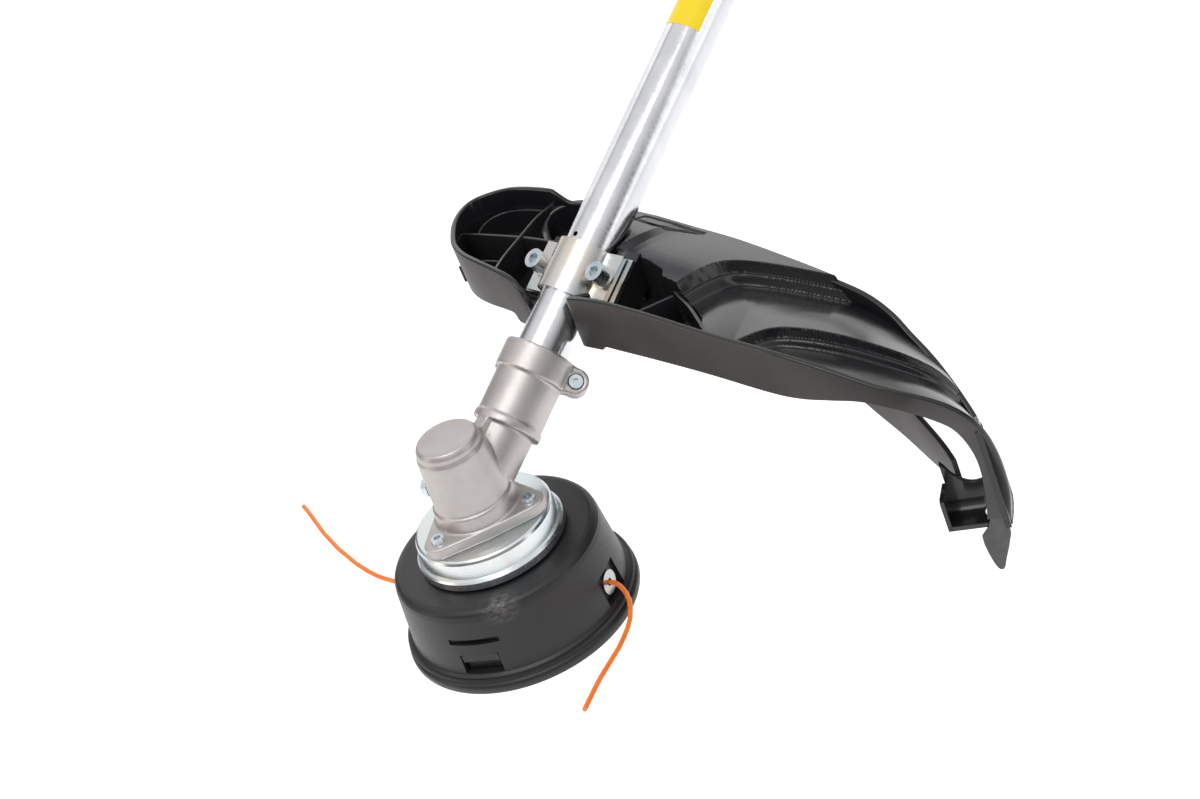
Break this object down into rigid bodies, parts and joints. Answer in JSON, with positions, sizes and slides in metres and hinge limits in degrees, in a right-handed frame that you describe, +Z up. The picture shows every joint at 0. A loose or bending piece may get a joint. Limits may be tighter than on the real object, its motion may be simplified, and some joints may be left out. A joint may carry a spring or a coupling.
{
  "type": "string trimmer lower unit",
  "caption": "Straight-shaft string trimmer lower unit: bump-feed line head, angled gear case, clamped debris guard with line cutter, and drive tube with coupler spigot.",
  "frame": {"origin": "centre of the coupler spigot's seat, where the spigot leaves its collar, on the tube's axis", "axes": "+Z up along the head's spin axis, +X towards the operator, so the tube climbs from the head along +X and +Z, +Y to the operator's right when facing the head"},
  "size_m": [0.7738, 0.3964, 0.481],
  "materials": {
    "tube_aluminium": "bright drawn",
    "turned_aluminium": "turned",
    "case_casting": "satin die casting",
    "zinc_steel": "bright blue zinc",
    "clamp_steel": "bright zinc",
    "screw_steel": "zinc, satin",
    "guard_plastic": "semi-gloss moulded",
    "head_plastic": "satin moulded, scuffed",
    "line_nylon": "translucent nylon",
    "label_yellow": "glossy film",
    "seal_rubber": "matt",
    "bush_rubber": "matt",
    "bearing_steel": "ground",
    "gear_steel": "machined",
    "cutter_steel": "blanked, ground edge"
  },
  "bodies": {
    "root": {"shaft_tube": "tube_aluminium", "coupler_spigot": "turned_aluminium", "shaft_bushes": "bush_rubber", "warning_label": "label_yellow", "gear_case": "case_casting", "pinch_screw": "screw_steel", "locating_screw": "screw_steel", "grease_plug": "screw_steel", "flange_screws": "screw_steel", "grass_cup": "zinc_steel", "oil_seal": "seal_rubber", "input_circlip": "bearing_steel", "input_outer_races": "bearing_steel", "input_balls": "bearing_steel", "output_outer_races": "bearing_steel", "output_balls": "bearing_steel", "guard_shell": "guard_plastic", "guard_clamp_upper": "clamp_steel", "guard_clamp_lower": "clamp_steel", "clamp_screws": "screw_steel", "clamp_spring_washers": "screw_steel", "clamp_flat_washers": "clamp_steel", "clamp_nuts": "screw_steel", "cutter_skirt": "guard_plastic", "skirt_screws": "screw_steel", "line_cutter_blade": "cutter_steel", "cutter_screw": "screw_steel"},
    "drive_line": {"drive_shaft": "gear_steel", "bevel_pinion": "gear_steel", "input_inner_races": "bearing_steel"},
    "head": {"output_shaft": "gear_steel", "bevel_gear": "gear_steel", "gear_spacer": "gear_steel", "output_inner_races": "bearing_steel", "holding_flange": "zinc_steel", "head_housing": "head_plastic", "head_cover": "head_plastic", "line_eyelets": "turned_aluminium", "head_nut": "screw_steel", "feed_spring": "gear_steel", "line_end_front": "line_nylon", "line_end_rear": "line_nylon"},
    "spring_seat": {"spring_seat": "gear_steel"},
    "spool": {"line_spool": "head_plastic", "wound_line": "line_nylon", "bump_knob": "head_plastic"}
  },
  "joints": [
    {"name": "head_spin", "type": "hinge", "parent": "root", "child": "head", "pos_m": [-0.65648, 0, -0.42744], "axis": [0, 0, 1], "continuous": true},
    {"name": "drive_spin", "type": "hinge", "parent": "root", "child": "drive_line", "pos_m": [-0.60375, 0, -0.32781], "axis": [0.8788, 0, 0.4772], "continuous": true},
    {"name": "bump_press", "type": "slide", "parent": "head", "child": "spring_seat", "axis": [0, 0, 1], "range_m": [0, 0.004], "stiffness_N_per_m": 4000, "springref_m": -0.008, "deforming": ["feed_spring"]},
    {"name": "spool_turn", "type": "hinge", "parent": "spring_seat", "child": "spool", "pos_m": [-0.65648, 0, -0.40894], "axis": [0, 0, 1], "continuous": true}
  ],
  "couplings": [
    {"joint": "drive_spin", "follows": "head_spin", "ratio": -1.4615}
  ]
}
